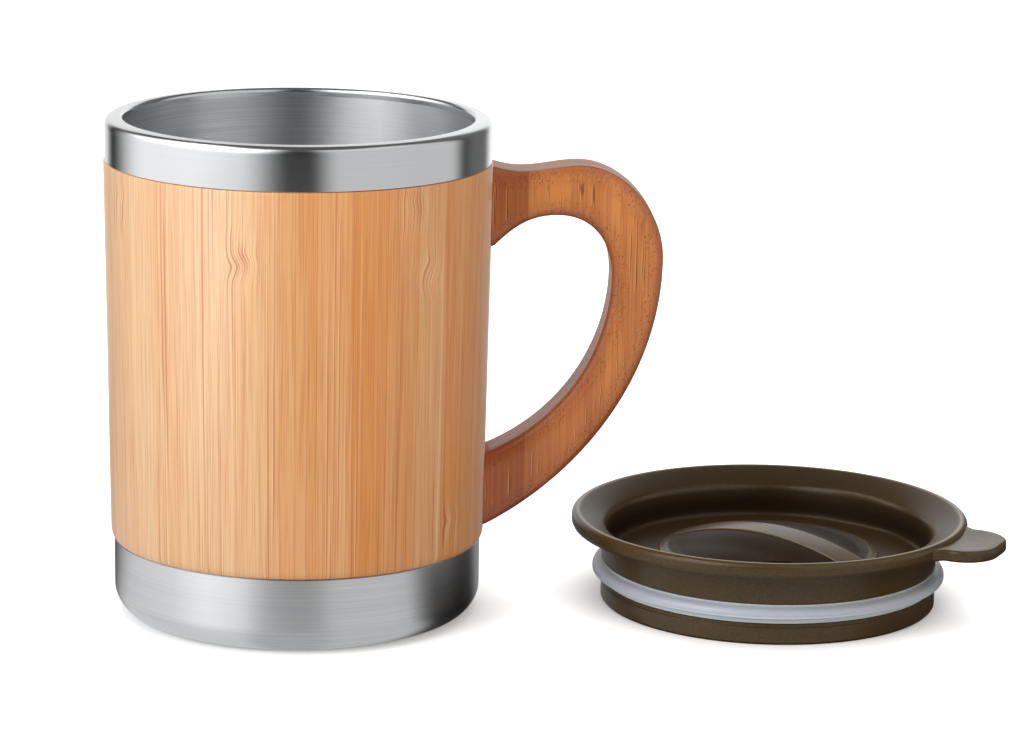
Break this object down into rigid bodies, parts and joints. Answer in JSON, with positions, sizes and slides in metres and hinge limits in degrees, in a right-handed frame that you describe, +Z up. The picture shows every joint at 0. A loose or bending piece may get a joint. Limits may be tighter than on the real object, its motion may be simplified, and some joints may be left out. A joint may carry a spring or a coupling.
{
  "type": "double-walled mug",
  "caption": "Double-walled steel mug with a bamboo sleeve and handle, and a press-in plastic lid with a thumb tab, a silicone gasket and a turning sip closure.",
  "frame": {"origin": "centre of the mug's base, on the table", "axes": "+Z up along the mug's axis, +X from the mug's axis out along the handle, towards the lid beside it"},
  "size_m": [0.1981, 0.0917, 0.11],
  "materials": {
    "liner_steel": "brushed round the cup",
    "rim_steel": "fine satin, nearly polished",
    "base_steel": "satin, brushed round the foot",
    "screw_steel": "plain zinc",
    "sleeve_bamboo": "natural bamboo strips, clear satin lacquer",
    "handle_bamboo": "carbonised bamboo, clear satin lacquer",
    "lid_plastic": "dark brown, fine moulded texture",
    "gasket_silicone": "translucent silicone"
  },
  "bodies": {
    "mug": {"inner_liner": "liner_steel", "rim_band": "rim_steel", "bamboo_sleeve": "sleeve_bamboo", "base_cup": "base_steel", "handle": "handle_bamboo", "upper_handle_screw": "screw_steel", "lower_handle_screw": "screw_steel"},
    "lid": {"lid_body": "lid_plastic", "lid_gasket": "gasket_silicone"},
    "dial": {"closure_dial": "lid_plastic", "dial_seal": "gasket_silicone", "dial_retainer": "screw_steel"}
  },
  "joints": [
    {"name": "lid_lift", "type": "slide", "parent": "mug", "child": "lid", "axis": [0.5, 0, 0.866], "range_m": [0, 0.12]},
    {"name": "dial_turn", "type": "hinge", "parent": "lid", "child": "dial", "pos_m": [0.1057, 0.0051, 0.0098], "axis": [0, 0, -1], "range_deg": [0, 90]}
  ]
}
